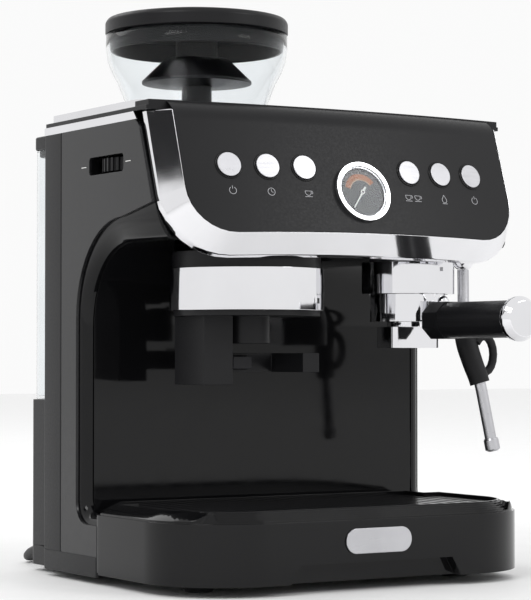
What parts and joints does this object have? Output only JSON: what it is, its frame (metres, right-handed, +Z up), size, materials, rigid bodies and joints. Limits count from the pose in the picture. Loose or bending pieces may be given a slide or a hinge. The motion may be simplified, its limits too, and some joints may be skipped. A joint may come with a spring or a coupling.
{
  "type": "espresso machine",
  "caption": "Black countertop espresso machine with a built-in bean grinder, leaning key panel with a gauge, portafilter, steam wand, drip tray and rear water tank.",
  "frame": {"origin": "on the ground, under the middle of the overall box of the machine with its portafilter handle", "axes": "+Z up, the control panel and handle face -Y, +X is to the right seen from the front"},
  "size_m": [0.31, 0.4905, 0.427],
  "materials": {
    "black_gloss": "gloss",
    "graphite_gloss": "gloss",
    "black_satin": "satin",
    "chrome": "polished",
    "brushed_steel": "brushed",
    "polished_steel": "polished",
    "clear_plastic": "clear",
    "rubber": "matte",
    "cord_rubber": "satin",
    "aluminium": "cast",
    "inner_plastic": "matte",
    "circuit_board": "satin",
    "dial": "matte",
    "needle": "satin",
    "grid_steel": "gloss"
  },
  "bodies": {
    "machine": {"base_pan": "black_satin", "feet": "rubber", "base_screws": "brushed_steel", "side_frame_left": "black_gloss", "side_frame_right": "black_gloss", "side_panel_left": "graphite_gloss", "side_panel_right": "graphite_gloss", "side_strips": "chrome", "rear_shell": "black_satin", "splash_panel": "black_gloss", "top_cover": "black_satin", "cup_warmer": "polished_steel", "fascia_carrier": "inner_plastic", "fascia": "black_satin", "chrome_frame": "chrome", "control_board": "circuit_board", "gauge_bezel": "chrome", "gauge_dial": "dial", "gauge_glass": "clear_plastic", "grinder_housing": "inner_plastic", "grinder_motor": "inner_plastic", "outlet_housing": "black_satin", "outlet_band": "chrome", "portafilter_cradle": "black_satin", "group_head": "aluminium", "group_collar": "chrome", "shower_screen": "brushed_steel", "boiler": "aluminium", "pump": "inner_plastic", "strain_relief": "cord_rubber", "power_cord": "cord_rubber", "cord_coil": "cord_rubber", "plug": "cord_rubber"},
    "drip_tray": {"drip_tray": "black_gloss", "badge": "brushed_steel"},
    "drip_grid": {"drip_grid": "grid_steel"},
    "hopper": {"hopper_bowl": "clear_plastic", "hopper_guard": "black_satin"},
    "hopper_lid": {"hopper_lid": "black_satin"},
    "upper_burr": {"upper_burr": "brushed_steel"},
    "lower_burr": {"lower_burr": "brushed_steel"},
    "grind_wheel": {"grind_wheel": "black_satin"},
    "grind_switch": {"grind_switch": "inner_plastic"},
    "portafilter": {"portafilter_body": "chrome", "filter_basket": "brushed_steel", "spout_block": "chrome", "portafilter_handle": "black_satin", "handle_ferrule": "chrome"},
    "steam_wand": {"wand_ball": "chrome", "wand_tube": "brushed_steel", "wand_grip": "rubber"},
    "gauge_needle": {"gauge_needle": "needle"},
    "water_tank": {"water_tank": "clear_plastic"},
    "tank_lid": {"tank_lid": "black_satin"},
    "button_1": {"button_1": "brushed_steel"},
    "button_2": {"button_2": "brushed_steel"},
    "button_3": {"button_3": "brushed_steel"},
    "button_4": {"button_4": "brushed_steel"},
    "button_5": {"button_5": "brushed_steel"},
    "button_6": {"button_6": "brushed_steel"}
  },
  "joints": [
    {"name": "button_1_press", "type": "slide", "parent": "machine", "child": "button_1", "axis": [0.105, 0.9458, -0.3073], "range_m": [0, 0.0012], "stiffness_N_per_m": 600, "springref_m": -0.0015},
    {"name": "button_2_press", "type": "slide", "parent": "machine", "child": "button_2", "axis": [0.075, 0.9484, -0.3081], "range_m": [0, 0.0012], "stiffness_N_per_m": 600, "springref_m": -0.0015},
    {"name": "button_3_press", "type": "slide", "parent": "machine", "child": "button_3", "axis": [0.0455, 0.9501, -0.3087], "range_m": [0, 0.0012], "stiffness_N_per_m": 600, "springref_m": -0.0015},
    {"name": "button_4_press", "type": "slide", "parent": "machine", "child": "button_4", "axis": [-0.0455, 0.9501, -0.3087], "range_m": [0, 0.0012], "stiffness_N_per_m": 600, "springref_m": -0.0015},
    {"name": "button_5_press", "type": "slide", "parent": "machine", "child": "button_5", "axis": [-0.075, 0.9484, -0.3081], "range_m": [0, 0.0012], "stiffness_N_per_m": 600, "springref_m": -0.0015},
    {"name": "button_6_press", "type": "slide", "parent": "machine", "child": "button_6", "axis": [-0.105, 0.9458, -0.3073], "range_m": [0, 0.0012], "stiffness_N_per_m": 600, "springref_m": -0.0015},
    {"name": "needle_sweep", "type": "hinge", "parent": "machine", "child": "gauge_needle", "pos_m": [0, -0.0855, 0.285], "axis": [0, 0.9511, -0.309], "range_deg": [0, 270]},
    {"name": "tray_slide", "type": "slide", "parent": "machine", "child": "drip_tray", "axis": [0, -1, 0], "range_m": [0, 0.14]},
    {"name": "grid_lift", "type": "slide", "parent": "drip_tray", "child": "drip_grid", "axis": [0, 0, 1], "range_m": [0, 0.03]},
    {"name": "hopper_lift", "type": "slide", "parent": "machine", "child": "hopper", "axis": [0, 0, 1], "range_m": [0, 0.06]},
    {"name": "hopper_lid_lift", "type": "slide", "parent": "hopper", "child": "hopper_lid", "axis": [0, 0, 1], "range_m": [0, 0.06]},
    {"name": "grind_setting", "type": "hinge", "parent": "machine", "child": "grind_wheel", "pos_m": [-0.1198, 0.0165, 0.306], "axis": [0, 0, 1], "range_deg": [-60, 60]},
    {"name": "burr_setting", "type": "hinge", "parent": "machine", "child": "upper_burr", "pos_m": [-0.055, 0.0595, 0.3], "axis": [0, 0, 1], "range_deg": [-30, 30]},
    {"name": "burr_spin", "type": "hinge", "parent": "machine", "child": "lower_burr", "pos_m": [-0.055, 0.0595, 0.29], "axis": [0, 0, 1], "continuous": true},
    {"name": "grind_switch_press", "type": "slide", "parent": "machine", "child": "grind_switch", "axis": [0, 1, 0], "range_m": [0, 0.004], "stiffness_N_per_m": 300, "springref_m": -0.002},
    {"name": "portafilter_lock", "type": "hinge", "parent": "machine", "child": "portafilter", "pos_m": [0.086, -0.0205, 0.205], "axis": [0, 0, 1], "range_deg": [-45, 0]},
    {"name": "wand_swivel", "type": "hinge", "parent": "machine", "child": "steam_wand", "pos_m": [0.128, -0.0345, 0.24], "axis": [0, 0, 1], "range_deg": [-30, 100]},
    {"name": "tank_lift", "type": "slide", "parent": "machine", "child": "water_tank", "axis": [0, 0, 1], "range_m": [0, 0.036]},
    {"name": "tank_lid_lift", "type": "slide", "parent": "water_tank", "child": "tank_lid", "axis": [0, 0, 1], "range_m": [0, 0.036]}
  ],
  "couplings": [
    {"joint": "burr_setting", "follows": "grind_setting", "ratio": -0.5}
  ]
}
